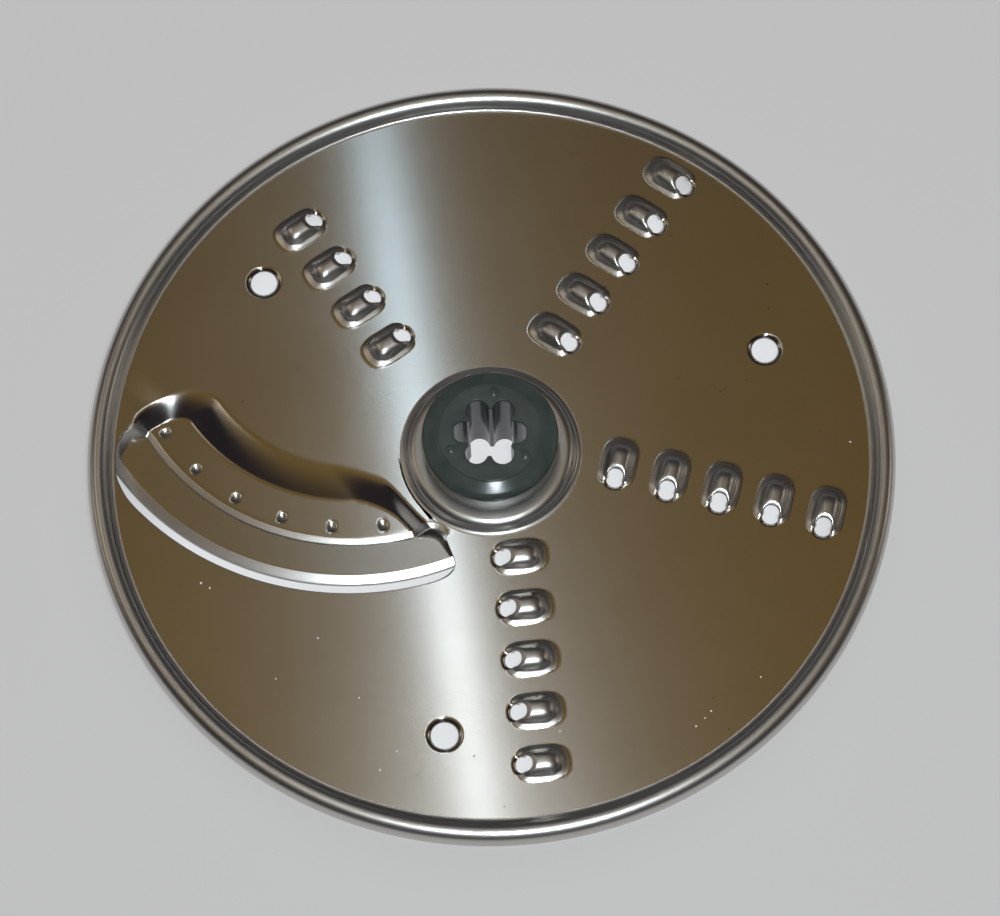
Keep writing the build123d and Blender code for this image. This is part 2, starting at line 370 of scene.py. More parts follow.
@dataclass(frozen=True)
class ShredCup:
    """One shredding cup: a hood drawn up behind a hole, its mouth facing along the row's turn."""

    mouth_x: float
    mouth_y: float
    heading: float
    height: float = 2.4
    length: float = 8.2
    cap: float = 5.4
    half_width: float = 4.1
    front: float = 3.5
    skirt: float = 0.24
    arch: float = 0.67
    arch_crown: float = 2.4
    arch_foot: float = 0.6
    skirt_curve: float = 1.2
    skirt_lap: float = 0.06
    hole_length: float = 3.2
    hole_width: float = 3.1
    roll: float = 0.8
    roll_drop: float = 0.3
    margin: float = 0.6
    edge: float = 0.42
    squareness: float = 2.7
    hole_squareness: float = 2.3

    def oblong(self, along: Array, across: Array, power: float) -> Array:
        """Gives a distance whose level lines are rounded oblongs: the root of a sum of like powers."""
        return (np.abs(along)**power + np.abs(across)**power) ** (1.0 / power)

    def height_at(self, x: Array, y: Array) -> Array:
        """Gives the hood's rise.

        The distance from the hood's axis, the tail's cap and the nose drawn in to match, is scaled to reach 1
        at the outline. Over it stands a rounded arch, steep at its foot, on a nearly straight skirt. Round
        the hole the sheet rolls down by the square of how near the hole is.

        Args:
            x: Plan places across.
            y: Plan places along.

        Returns:
            Rise over the flat.
        """
        turn = math.radians(self.heading)
        along = (x - self.mouth_x) * math.cos(turn) + (y - self.mouth_y) * math.sin(turn)
        across = (y - self.mouth_y) * math.cos(turn) - (x - self.mouth_x) * math.sin(turn)
        past_tail = np.maximum(-along - self.length + self.cap, 0.0) / self.cap
        past_mouth = np.maximum(along, 0.0) / self.front
        far = self.oblong(past_tail + past_mouth, across / self.half_width, self.squareness)
        arch = (1.0 - np.minimum(far / self.arch, 1.0) ** self.arch_crown) ** self.arch_foot
        on_skirt = (far - self.arch + self.skirt_lap) / (1.0 + self.skirt_lap - self.arch)
        skirt = (1.0 - np.clip(on_skirt, 0.0, 1.0)) ** self.skirt_curve
        section = (1.0 - self.skirt) * arch + self.skirt * skirt
        half = np.array([self.hole_length, self.hole_width]) / 2
        off_hole = self.oblong((along - half[0]) / half[0], across / half[1], self.hole_squareness)
        off_hole = (off_hole - 1.0) * half.mean() - self.edge
        rolled = self.roll_drop * np.square(1.0 - np.clip(off_hole / self.roll, 0.0, 1.0))
        return self.height * section - rolled

    def plan(self, sheet: float, columns: int, rows: int) -> Array:
        """Gives the plan grid from an oblong on the flat to the hole's edge.

        Args:
            sheet: Thickness of the sheet, half of which the rounded edge takes.
            columns: Points round the hole.
            rows: Points from the flat to the hole, closest over the wall and towards the hole.

        Returns:
            Plan points, indexed round the hole, from the flat to the hole, and axis.
        """
        turn = np.linspace(0.0, 2 * math.pi, columns, endpoint=False)
        wave = np.stack([np.cos(turn), np.sin(turn)], axis=-1)
        rounded = np.sign(wave) * np.abs(wave) ** (2.0 / self.squareness)
        half = np.array([self.hole_length, self.hole_width]) / 2 + sheet / 2
        punched = np.sign(wave) * np.abs(wave) ** (2.0 / self.hole_squareness)
        hole = np.array([self.hole_length / 2, 0.0]) + half * punched
        tail = -self.length - self.margin
        nose = self.hole_length + sheet / 2 + self.roll + self.margin
        base = np.array([(tail + nose) / 2, 0.0])
        base = base + np.array([(nose - tail) / 2, self.half_width + self.margin]) * rounded
        even = np.linspace(0.0, 1.0, rows)
        share = np.interp(even, [0.0, 0.1, 0.42, 0.62, 1.0], [0.0, 0.15, 0.35, 0.7, 1.0])
        local = base[:, None] + (hole - base)[:, None] * share[:, None]
        heading = math.radians(self.heading)
        spin = np.array([[math.cos(heading), math.sin(heading)], [-math.sin(heading), math.cos(heading)]])
        return local @ spin + np.array([self.mouth_x, self.mouth_y])


@dataclass(frozen=True)
class PlainHole:
    """One plain punched hole, its upper edge rolled in."""

    x: float
    y: float
    radius: float = 2.65
    edge: float = 0.42
    roll: float = 1.05
    drop: float = 0.5
    margin: float = 0.5

    def height_at(self, x: Array, y: Array) -> Array:
        """Gives the rolled edge's drop: the square of how near the hole is."""
        far = np.hypot(x - self.x, y - self.y) - self.radius - self.edge
        return -self.drop * np.square(1.0 - np.clip(far / self.roll, 0.0, 1.0))

    def plan(self, sheet: float, columns: int, rows: int) -> Array:
        """Gives circles from the flat to the hole's edge, indexed round, inwards, and axis."""
        turn = np.linspace(0.0, 360.0, columns, endpoint=False)[:, None]
        inner = self.radius + sheet / 2
        radius = np.linspace(inner + self.roll + self.margin, inner, rows)[None]
        return ring_points((self.x, self.y), radius, np.broadcast_to(turn, (columns, rows)))


@dataclass(frozen=True)
class BladePlatform:
    """Platform pressed down behind the slot, with its slopes and the dents of its spot welds."""

    sweep: Sweep = Sweep()
    depth: float = 3.0
    slope_curve: float = 1.35
    back: float = 44.0
    front: float = 55.0
    front_slope: float = 3.0
    start: float = 208.5
    end_back: float = 276.0
    end_front: float = 283.4
    back_slope: float = 7.6
    start_slope: float = 4.4
    end_slope: float = 5.4
    rim_clear: float = 79.2
    rim_slope: float = 3.7
    hub_clear: float = 23.0
    hub_slope: float = 2.5
    slot_back: float = 54.2
    slot_front: float = 66.2
    slot_start: float = 206.8
    slot_end: float = 289.0
    slot_fade: float = 4.0
    slot_limit: float = 82.54
    rounding: float = 0.8
    weld_circle: float = 50.1
    weld_first: float = 211.2
    weld_step: float = 12.9
    weld_count: int = 6
    weld_flat: float = 0.35
    weld_radius: float = 1.15
    weld_dent: float = 0.4
    sheet: float = 0.85
    edge_roll: float = 1.5
    edge_drop: float = 0.45
    outer_back: float = 0.4
    outer_front: float = 1.2
    outer_rim: float = 83.1
    outer_hub: float = 20.4
    outer_start: float = 203.4
    outer_end: float = 1.3
    run_counts: tuple[int, ...] = (236, 16, 40, 150, 40)

    def from_weld(self, x: Array, y: Array) -> Array:
        """Gives the distance to the nearest spot weld."""
        welds = ring_points(
            self.sweep.centre, self.weld_circle, self.weld_first + self.weld_step * np.arange(self.weld_count)
        )
        return np.hypot(x[..., None] - welds[:, 0], y[..., None] - welds[:, 1]).min(axis=-1)

    def near_slot(self, x: Array, y: Array) -> Array:
        """Gives how near the slot's back edge is: 1 at the edge, 0 a roll's width away or past the ends.

        Args:
            x: Plan places across.
            y: Plan places along.

        Returns:
            Nearness at each place.
        """
        slot = self.outlines()[0][::2]
        away = np.hypot(x[..., None] - slot[:, 0], y[..., None] - slot[:, 1]).min(axis=-1)
        radius = self.sweep.polar(x, y)[0]
        behind = 1.0 - smooth_step(self.slot_back, self.slot_back + self.slot_fade, radius)
        return behind * np.clip(1.0 - away / self.edge_roll, 0.0, 1.0)

    def height_at(self, x: Array, y: Array) -> Array:
        """Gives the platform's drop.

        The distances past the back arc, the front, the two ends, the rim and the hub, each over its slope's
        width and plus a rounding, are joined as one length less the rounding. The drop falls from full depth
        to nothing as that length goes from 0 to 1, each weld takes a round dent more, and the edge over the
        blade rolls down by the square of how near the slot is.

        Args:
            x: Plan places across.
            y: Plan places along.

        Returns:
            Drop under the flat, as a negative rise.
        """
        radius, angle = self.sweep.polar(x, y)
        past_back = (self.back - radius) / self.back_slope
        past_start = (self.start - angle) * np.radians(radius) / self.start_slope
        end = ring_points(self.sweep.centre, np.array([self.back, self.slot_back]),
                          np.array([self.end_back, self.end_front]))
        along = (end[1] - end[0]) / np.linalg.norm(end[1] - end[0])
        beyond = (y - end[0, 1]) * along[0] - (x - end[0, 0]) * along[1]
        past_end = beyond / self.end_slope
        past_rim = (np.hypot(x, y) - self.rim_clear) / self.rim_slope
        past_hub = (self.hub_clear - np.hypot(x, y)) / self.hub_slope
        past_front = (radius - self.front) / self.front_slope
        sides = [past_back, past_start, past_end, past_rim, past_hub, past_front]
        reached = np.sqrt(sum(np.square(np.maximum(side + self.rounding, 0.0)) for side in sides))
        past = np.maximum(reached - self.rounding, 0.0)
        drop = -self.depth * np.clip(1.0 - past, 0.0, 1.0) ** self.slope_curve
        dent = self.weld_dent * (1.0 - smooth_step(self.weld_flat, self.weld_radius, self.from_weld(x, y)))
        rolled = self.edge_drop * np.square(self.near_slot(x, y))
        return drop - dent - rolled

    def outlines(self) -> tuple[Array, Array]:
        """Gives the slot's edge and the outline on the flat round the platform, point for point.

        The cut's rounded edge takes half of the sheet's thickness. On the hub's side the outer outline keeps
        clear of the collar.

        Returns:
            The slot's outline and the outer outline.
        """
        half = self.sheet / 2
        back, front = self.slot_back - half, self.slot_front + half
        across = np.linspace(back, front, 400)
        end = np.full(self.run_counts[-1], self.slot_end)
        slot = self.five_runs(back, front, self.slot_limit + half, self.slot_start, end, across)
        back, front = self.back - self.back_slope - self.outer_back, front + self.outer_front
        radius = front + (back - front) * np.linspace(0.0, 1.0, len(end), endpoint=False)
        end = np.minimum(self.sweep.angle_at(radius, self.outer_hub), end + self.outer_end)
        outer = self.five_runs(back, front, self.outer_rim, self.outer_start, end, across)
        return soften_loop(slot, reach=12), soften_loop(outer, reach=2)

    def five_runs(
        self, back: float, front: float, limit: float, start: float, end: Array, across: Array
    ) -> Array:
        """Gives an outline of five runs: back arc, start, rim side, front arc and hub end.

        Args:
            back: Radius of the back arc.
            front: Radius of the front arc.
            limit: Distance of the rim side from the spin axis.
            start: Angle of the start, in degrees.
            end: Angle of each point of the hub end, from the front arc to the back arc.
            across: Radii among which the start's meeting with the rim side is looked up.

        Returns:
            Rows of x and y.
        """
        centre = self.sweep.centre
        share = [np.linspace(0.0, 1.0, count, endpoint=False) for count in self.run_counts]
        top = float(np.interp(start, self.sweep.angle_at(across, limit), across))
        front_start = float(self.sweep.angle_at(front, limit))
        rim_from = ring_points(centre, top, np.array(start))
        rim_to = ring_points(centre, front, np.array(front_start))
        return np.concatenate([
            ring_points(centre, back, end[-1] + (start - end[-1]) * share[0]),
            ring_points(centre, back + (top - back) * share[1], np.full(len(share[1]), start)),
            self.rim_run(rim_from, rim_to, limit, share[2]),
            ring_points(centre, front, front_start + (end[0] - front_start) * share[3]),
            ring_points(centre, front + (back - front) * share[4], end),
        ])

    def rim_run(self, first: Array, last: Array, radius: float, share: Array) -> Array:
        """Gives points between two places along a circle about the spin axis."""
        from_angle = math.degrees(math.atan2(first[1], first[0])) % 360.0
        to_angle = math.degrees(math.atan2(last[1], last[0])) % 360.0
        return ring_points((0.0, 0.0), radius, from_angle + (to_angle - from_angle) * share)

    def plan(self, rows: int) -> Array:
        """Gives straight rays from the outer outline to the slot's edge, indexed round, inwards, and axis."""
        slot, outer = self.outlines()
        share = np.linspace(0.0, 1.0, rows)[:, None]
        return outer[:, None] + (slot - outer)[:, None] * share


@dataclass
class PressedPlate:
    """Pressed steel plate: rim bead, collar, cups, plain holes, platform and slot in one closed sheet."""

    name: str = "disc_plate_dressed"
    top: float = 12.175
    sheet: float = BladePlatform.sheet
    lead: float = 0.25
    rim_root: float = 83.437
    root_radius: float = 1.2
    bead_radius: float = 1.975
    kick: float = 85.0
    skirt: float = 1.35
    collar_crown: float = 16.55
    collar_root: float = 20.0
    collar_bend: float = 1.9
    collar_angle: float = 65.11
    collar_lip: float = 13.6
    collar_lead: float = 0.15
    row_first: float = -86.6
    row_step: float = 70.0
    row_radius: float = 25.197
    row_stagger: float = 2.9
    row_counts: tuple[int, ...] = (5, 5, 5, 4)
    cup_pitch: float = 11.67
    cup_setback: float = 1.8
    cup_polish: float = 0.12
    plain_circle: float = 65.597
    plain_first: float = 19.2
    plain_count: int = 3
    spread: float = 96.9
    blade_top: float = 8.325
    platform: BladePlatform = BladePlatform()

    def cups(self) -> list[ShredCup]:
        """Gives every cup, row by row, each row a little further out than the last."""
        found = []
        for row, count in enumerate(self.row_counts):
            angle = self.row_first + row * self.row_step
            radius = self.row_radius + row * self.row_stagger + self.cup_pitch * np.arange(count)
            heading = angle - 90.0
            back = ring_points((0.0, 0.0), self.cup_setback, np.array(heading))
            places = ring_points((0.0, 0.0), radius, np.full(count, angle)) - back
            found += [ShredCup(float(x), float(y), heading) for x, y in places]
        return found

    def rim_section(self) -> Array:
        """Gives the rim: up a small bend, over the bead and down its skirt, and back inside."""
        half = self.sheet / 2
        path, left = bent_path(
            (self.rim_root - self.lead, self.top - half),
            [
                (self.lead, self.root_radius, self.kick, 9),
                (0.0, self.bead_radius, -self.kick - 90.0, 24),
                (self.skirt, 0.0, 0.0, 0),
            ],
        )
        return wrap_section(path, left, half, thin=3)

    def collar_section(self) -> Array:
        """Gives the collar, walked inwards: up a bend, level again, and on into the hub."""
        half = self.sheet / 2
        path, left = bent_path(
            (-self.collar_root - self.collar_lead, self.top - half),
            [
                (self.collar_lead, self.collar_bend, self.collar_angle, 12),
                (0.0, self.collar_bend, -self.collar_angle, 12),
                (self.collar_crown - self.collar_lip - half, 0.0, 0.0, 0),
            ],
        )
        return wrap_section(path, left, half, thin=2) * np.array([-1.0, 1.0])

    def build(self) -> bpy.types.Object:
        """Builds the plate as one closed mesh.

        Returns:
            The plate's object.
        """
        mesh = SurfaceMesh(self.name)
        rim = mesh.grid(turn_section(self.rim_section(), count=256), Burnish.POLISHED.value)
        collar = mesh.grid(turn_section(self.collar_section(), count=160), Burnish.POLISHED.value)
        patches = []
        for cup in self.cups():
            plan = cup.plan(self.sheet, columns=56, rows=28)
            patch = sheet_patch(plan, cup.height_at, self.top, self.sheet, rest=0.0, thin=4)
            patches.append(mesh.grid(patch, smooth_step(0.0, self.cup_polish, patch[..., 2] - self.top)))
        for turn in self.plain_first + np.arange(self.plain_count) * 360.0 / self.plain_count:
            place = ring_points((0.0, 0.0), self.plain_circle, np.array(turn))
            hole = PlainHole(float(place[0]), float(place[1]))
            plan = hole.plan(self.sheet, columns=64, rows=10)
            patch = sheet_patch(plan, hole.height_at, self.top, self.sheet, rest=0.0, thin=2)
            patches.append(mesh.grid(patch, Burnish.BRUSHED.value))
        plan = self.platform.plan(rows=34)
        patch = sheet_patch(plan, self.platform.height_at, self.top, self.sheet, self.blade_top, thin=3)
        off_weld = self.platform.from_weld(patch[..., 0], patch[..., 1])
        rubbed = 1.0 - smooth_step(0.0, 2 * self.platform.weld_radius, off_weld)
        rolled = 2.0 * self.platform.near_slot(patch[..., 0], patch[..., 1])
        patches.append(mesh.grid(patch, np.maximum(rubbed, rolled)))
        for side in (0, -1):
            mesh.fill_flat(rim[:, side], [collar[:, side], *[patch[:, side] for patch in patches]])
        return mesh.make(self.spread)


@dataclass
class SlicingBlade:
    """Curved slicing blade welded under the platform, its upper side ground to an edge."""

    name: str = "slicing_blade_dressed"
    sweep: Sweep = Sweep()
    top: float = PressedPlate.blade_top
    thickness: float = 1.0
    ease: float = 0.05
    back: float = 46.6
    edge: float = 63.1
    bevel: float = 2.3
    honed: float = 0.32
    honed_fall: float = 0.25
    land: float = 0.08
    start: float = 205.1
    end: float = 291.7
    rim_circle: float = 84.44
    hub_circle: float = 18.1
    corner: float = 1.9
    lean: float = 1.2
    spread: float = 60.0

    def build(self) -> bpy.types.Object:
        """Builds the blade: its section carried along the sweep between two shaped ends.

        At each radius the strip runs from the later of the start line and the rim circle to the earlier of
        the end line and the hub circle, less a quarter-round at the corners. Its edge leans out towards the
        start by the square of the way there.

        Returns:
            The blade's object.
        """
        heel = self.edge - self.bevel
        over = np.concatenate([
            [self.back, self.back + self.ease, self.back + 0.3, self.back + 0.8, self.back + 1.9],
            np.linspace(self.back + 3.0, heel - 0.5, 8),
            [heel - 0.06, heel + 0.06],
            np.linspace(heel + 0.4, self.edge - 0.8, 4),
            [self.edge - self.honed - 0.04, self.edge - self.honed + 0.04, self.edge],
        ])
        ground = self.thickness - self.land - self.honed_fall
        fall = ground * np.clip((over - heel) / (self.bevel - self.honed), 0.0, 1.0)
        fall += self.honed_fall * np.clip((over - self.edge) / self.honed + 1.0, 0.0, 1.0)
        level = self.top - fall
        level[0] -= self.ease
        radius = np.concatenate([over, over[::-1]])
        height = np.concatenate([level, np.full(len(over), self.top - self.thickness)])
        height[-1] += self.ease
        near = np.minimum(np.minimum(radius - self.back, self.edge - radius), self.corner)
        cut = self.corner - np.sqrt(np.square(self.corner) - np.square(self.corner - near))
        trim = np.degrees(cut / radius)
        first = np.maximum(self.start, self.sweep.angle_at(radius, self.rim_circle)) + trim
        last = np.minimum(self.end, self.sweep.angle_at(radius, self.hub_circle)) - trim
        share = np.linspace(0.0, 1.0, 150)
        share = np.concatenate([[0.0, 0.0006], share[1:-1], [0.9994, 1.0]])[:, None]
        angle = first + (last - first) * share
        leaning = self.lean * np.square(1.0 - share) * (radius - self.back) / (self.edge - self.back)
        plan = ring_points(self.sweep.centre, radius + leaning, angle)
        points = np.concatenate([plan, np.broadcast_to(height, angle.shape)[..., None]], axis=-1)
        mesh = SurfaceMesh(self.name)
        dulled = (radius > heel) & (radius < self.edge - self.honed + 0.1)
        polish = np.where(dulled & (np.arange(len(radius)) < len(over)), 1.0, 0.0)
        ids = mesh.grid(points, polish, close_v=True, close_u=False)
        for end in (0, -1):
            mesh.zip_loops(ids[end, :len(over)], ids[end, len(over):][::-1])
        return mesh.make(self.spread)


@dataclass
class DriveHub:
    """Moulded hub with a six-lobed drive socket right through it."""

    name: str = "hub_dressed"
    height: float = 23.5
    radius: float = 14.9
    face: float = 11.4
    bend: float = 1.6
    step: float = 0.3
    groove_low: float = 13.495
    groove_high: float = 14.405
    groove_radius: float = 13.57
    core: float = 5.5
    lobe: float = 2.45
    lobe_circle: float = 5.65
    lobe_count: int = 6
    lobe_first: float = -3.0
    pip_circle: float = 9.35
    pip_first: float = 83.0
    pip_count: int = 3
    pip_radius: float = 1.05
    pip_rise: float = 0.3
    edge: float = 0.35

    def socket(self, count: int) -> Array:
        """Gives the socket's outline.

        From the axis, each ray goes to the core circle or to the far side of the lobe it meets, whichever
        is further; the corners between them are then softened.

        Args:
            count: Points wanted along the outline.

        Returns:
            Rows of x and y.
        """
        angle = np.linspace(0.0, 360.0, 7200, endpoint=False)
        spacing = 360.0 / self.lobe_count
        off = np.radians((angle - self.lobe_first + spacing / 2) % spacing - spacing / 2)
        inside = np.maximum(self.lobe**2 - np.square(self.lobe_circle * np.sin(off)), 0.0)
        far = self.lobe_circle * np.cos(off) + np.sqrt(inside)
        reach = np.where(inside > 0.0, np.maximum(far, self.core), self.core)
        outline = even_loop(ring_points((0.0, 0.0), reach, angle), count=1800)
        return even_loop(soften_loop(outline, reach=7), count)

    def profile(self) -> Array:
        """Gives the outside, from face to face, as radius and level: a step, a cone, a bend and the wall."""
        turn = np.radians(np.linspace(20.0, 90.0, 12))
        corner = self.radius - self.bend * (1.0 - np.sin(turn))
        sunk = self.step + (self.radius - self.bend * (1.0 - np.sin(turn[0])) - self.face) * math.tan(turn[0])
        level = self.height - sunk + self.bend * (np.cos(turn) - np.cos(turn[0]))
        shoulder = np.stack([corner, level], axis=-1)
        cone = np.linspace([self.face + 0.4, self.height - self.step - 0.07], shoulder[0], 4, endpoint=False)
        shoulder = np.concatenate([cone, shoulder])
        rim = np.array([
            [self.face - 0.5, self.height],
            [self.face - 0.12, self.height - 0.02],
            [self.face, self.height - 0.1],
            [self.face + 0.08, self.height - self.step + 0.03],
            [self.face + 0.2, self.height - self.step],
        ])
        wall = np.array([
            [self.radius, self.groove_high + 0.1],
            [self.radius - 0.05, self.groove_high],
            [self.groove_radius, self.groove_high],
            [self.groove_radius, self.groove_low],
            [self.radius - 0.05, self.groove_low],
            [self.radius, self.groove_low - 0.1],
        ])
        upper = np.concatenate([rim, shoulder])
        lower = upper[::-1] * np.array([1.0, -1.0]) + np.array([0.0, self.height])
        return np.concatenate([upper, wall, lower])

    def build(self) -> bpy.types.Object:
        """Builds the hub as one grid closed both ways: face, outside, lower face and socket wall.

        Returns:
            The hub's object.
        """
        columns = 360
        socket = self.socket(columns)
        angle = np.degrees(np.arctan2(socket[:, 1], socket[:, 0]))
        reach = np.hypot(socket[:, 0], socket[:, 1])
        across = np.concatenate([[8.5], np.linspace(8.55, 10.15, 13), [10.6]])
        lip = reach[:, None] + self.edge * np.array([1.0, 0.62, 0.29, 0.08, 0.0])
        sink = self.edge * np.array([0.0, 0.08, 0.29, 0.62, 1.0])
        profile = self.profile()
        rings = np.broadcast_to(across, (columns, len(across)))
        outside = np.broadcast_to(profile[:, 0], (columns, len(profile)))
        wall = np.linspace(self.height - 2 * self.edge, 2 * self.edge, 12)
        radius = np.concatenate([lip[:, ::-1][:, 1:], rings, outside, rings[:, ::-1], lip,
                                 np.broadcast_to(reach[:, None], (columns, len(wall) + 1))], axis=1)
        full = np.full(len(across), self.height)
        level = np.concatenate([
            self.height - sink[::-1][1:], full, profile[:, 1], np.zeros(len(across)), sink, wall[::-1],
            [self.height - sink[-1]],
        ])
        plan = ring_points((0.0, 0.0), radius, angle[:, None])
        height = np.broadcast_to(level, radius.shape).copy()
        pips = ring_points(
            (0.0, 0.0), self.pip_circle, self.pip_first + np.arange(self.pip_count) * 360.0 / self.pip_count
        )
        nearest = np.hypot(plan[..., 0, None] - pips[:, 0], plan[..., 1, None] - pips[:, 1]).min(axis=-1)
        bump = self.pip_rise * np.maximum(1.0 - np.square(nearest / self.pip_radius), 0.0)
        height += np.where(level == self.height, bump, 0.0)
        mesh = SurfaceMesh(self.name)
        mesh.grid(np.concatenate([plan, height[..., None]], axis=-1), Burnish.BRUSHED.value, close_v=True)
        return mesh.make(0.0)


class Wiring:
    """Places and joins the nodes of one node tree."""

    def __init__(self, tree: bpy.types.NodeTree) -> None:
        """Takes over a tree and clears it."""
        self.tree = tree
        tree.nodes.clear()

    def add(
        self, kind: str, inputs: dict[str | int, object] | None = None, **settings: object
    ) -> bpy.types.Node:
        """Adds a node.

        Args:
            kind: Blender's name of the node type.
            inputs: Value or socket for each named or numbered input.
            settings: Properties of the node.

        Returns:
            The new node.
        """
        node = self.tree.nodes.new(kind)
        for key, value in settings.items():
            setattr(node, key, value)
        for key, value in (inputs or {}).items():
            if isinstance(value, bpy.types.NodeSocket):
                self.tree.links.new(value, node.inputs[key])
            else:
                node.inputs[key].default_value = value
        return node

    def maths(self, operation: str, first: object, second: object) -> bpy.types.NodeSocket:
        """Adds a Math node and gives its output."""
        return self.add("ShaderNodeMath", {0: first, 1: second}, operation=operation).outputs[0]

    def vector(self, operation: str, first: object, second: Place) -> bpy.types.Node:
        """Adds a Vector Math node."""
        return self.add("ShaderNodeVectorMath", {0: first, 1: second}, operation=operation)

    def noise(self, place: object, scale: object, detail: float) -> bpy.types.NodeSocket:
        """Adds a Noise Texture node and gives its value."""
        return self.add("ShaderNodeTexNoise", {"Vector": place, "Scale": scale, "Detail": detail}).outputs[0]

    def ranged(
        self, value: object, low: float, high: float, to_low: float, to_high: float
    ) -> bpy.types.NodeSocket:
        """Adds a clamped Map Range node and gives its output."""
        node = self.add("ShaderNodeMapRange", {0: value, 1: low, 2: high, 3: to_low, 4: to_high})
        return node.outputs[0]

    def mixed(self, share: object, first: object, second: object) -> bpy.types.NodeSocket:
        """Adds a colour Mix node and gives its output."""
        return self.add("ShaderNodeMix", {0: share, 6: first, 7: second}, data_type="RGBA").outputs[2]


def new_material(name: str) -> tuple[bpy.types.Material, Wiring]:
    """Makes an empty material, and gives it with its wiring."""
    material = bpy.data.materials.new(name)
    material.use_nodes = True
    return material, Wiring(material.node_tree)


def open_group(name: str, inputs: dict[str, str], outputs: dict[str, str]) -> tuple[Wiring, bpy.types.Node]:
    """Starts a shader node group.

    Args:
        name: Name of the group.
        inputs: Socket type of each named input.
        outputs: Socket type of each named output.

    Returns:
        The group's wiring, and its input node.
    """
    group = bpy.data.node_groups.new(name, "ShaderNodeTree")
    for socket, kind in inputs.items():
        group.interface.new_socket(socket, in_out="INPUT", socket_type=kind)
    for socket, kind in outputs.items():
        group.interface.new_socket(socket, in_out="OUTPUT", socket_type=kind)
    wiring = Wiring(group)
    return wiring, wiring.add("NodeGroupInput")


def grain_group() -> bpy.types.NodeTree:
    """Makes the group for rolled steel grain: noise drawn out along the sheet, and a cloudy smudge.

    Returns:
        The node group.
    """
    wiring, given = open_group(
        "rolled_grain",
        {"Vector": "NodeSocketVector", "Turn": "NodeSocketVector", "Fineness": "NodeSocketFloat"},
        {"Grain": "NodeSocketFloat", "Smudge": "NodeSocketFloat"},
    )
    turned = wiring.add("ShaderNodeMapping", {"Vector": given.outputs[0], "Rotation": given.outputs[1]})
    drawn = wiring.vector("MULTIPLY", turned.outputs[0], (0.045, 1.0, 1.0))
    fine = wiring.noise(drawn.outputs[0], given.outputs[2], 4.0)
    cloudy = wiring.noise(given.outputs[0], 38.0, 3.0)
    wiring.add("NodeGroupOutput", {0: fine, 1: cloudy})
    return wiring.tree


def marks_group() -> bpy.types.NodeTree:
    """Makes the group for handling marks: scattered specks, thin scratches and the few pale nicks.

    Returns:
        The node group.
    """
    wiring, given = open_group(
        "handling_marks",
        {"Vector": "NodeSocketVector", "Spread": "NodeSocketFloat"},
        {"Specks": "NodeSocketFloat", "Scratches": "NodeSocketFloat", "Nicks": "NodeSocketFloat"},
    )
    cells = wiring.add("ShaderNodeTexVoronoi", {"Vector": given.outputs[0], "Scale": given.outputs[1]})
    chosen = wiring.add("ShaderNodeSeparateColor", {0: cells.outputs["Color"]})
    near = wiring.ranged(cells.outputs["Distance"], 0.05, 0.09, 1.0, 0.0)
    specks = wiring.maths("MULTIPLY", near, wiring.ranged(chosen.outputs[0], 0.9, 0.91, 0.0, 1.0))
    bent = wiring.add("ShaderNodeMapping", {"Vector": given.outputs[0], "Rotation": (0.0, 0.0, 0.7)})
    drawn = wiring.vector("MULTIPLY", bent.outputs[0], (1.0, 0.07, 1.0))
    lines = wiring.add("ShaderNodeTexVoronoi", {"Vector": drawn.outputs[0], "Scale": 160.0})
    picked = wiring.add("ShaderNodeSeparateColor", {0: lines.outputs["Color"]})
    thin = wiring.ranged(lines.outputs["Distance"], 0.02, 0.05, 1.0, 0.0)
    scratches = wiring.maths("MULTIPLY", thin, wiring.ranged(picked.outputs[1], 0.8, 0.82, 0.0, 1.0))
    level = wiring.vector("MULTIPLY", given.outputs[0], (1.0, 1.0, 0.0))
    nicks: object = 0.0
    for x, y, radius in NICKS:
        spot = (x * MILLIMETRE, y * MILLIMETRE, 0.0)
        size = radius * MILLIMETRE
        off = wiring.vector("DISTANCE", level.outputs[0], spot).outputs["Value"]
        nicks = wiring.maths("MAXIMUM", nicks, wiring.ranged(off, 0.5 * size, size, 1.0, 0.0))
    wiring.add("NodeGroupOutput", {0: specks, 1: scratches, 2: nicks})
    return wiring.tree


